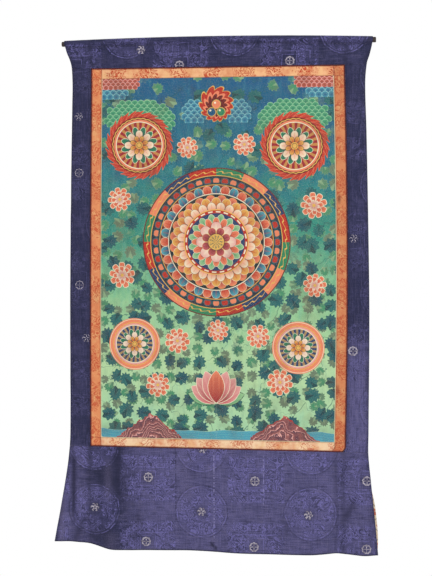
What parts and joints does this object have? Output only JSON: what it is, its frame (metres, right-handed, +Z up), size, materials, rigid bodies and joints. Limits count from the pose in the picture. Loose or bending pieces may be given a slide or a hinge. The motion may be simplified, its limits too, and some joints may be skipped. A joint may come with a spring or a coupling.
{
  "type": "scroll painting in a brocade mount with its hanging rod",
  "caption": "Painted cloth scroll in an orange border and a flared navy brocade mount, hanging from a slender rod through its top sleeve.",
  "frame": {"origin": "middle of the rod's axis, where the scroll is hung", "axes": "+Z up, the painted face towards -Y, +X to the viewer's right"},
  "size_m": [0.7137, 0.0217, 1.1384],
  "materials": {
    "painted_cloth": "matte mineral paint on sized cotton",
    "orange_brocade": "silk brocade, soft sheen",
    "red_welt": "matte silk",
    "navy_brocade": "silk damask, soft sheen, worn",
    "printed_cotton": "matte printed cotton",
    "rod_wood": "dark, worn"
  },
  "bodies": {
    "root": {"painting_canvas": "painted_cloth", "border_left": "orange_brocade", "border_right": "orange_brocade", "border_top": "orange_brocade", "border_bottom": "orange_brocade", "welt_left": "red_welt", "welt_right": "red_welt", "welt_top": "red_welt", "welt_bottom": "red_welt", "mount_top": "navy_brocade", "mount_left": "navy_brocade", "mount_right": "navy_brocade", "mount_bottom": "navy_brocade", "lining": "printed_cotton", "top_rod": "rod_wood"}
  },
  "joints": []
}
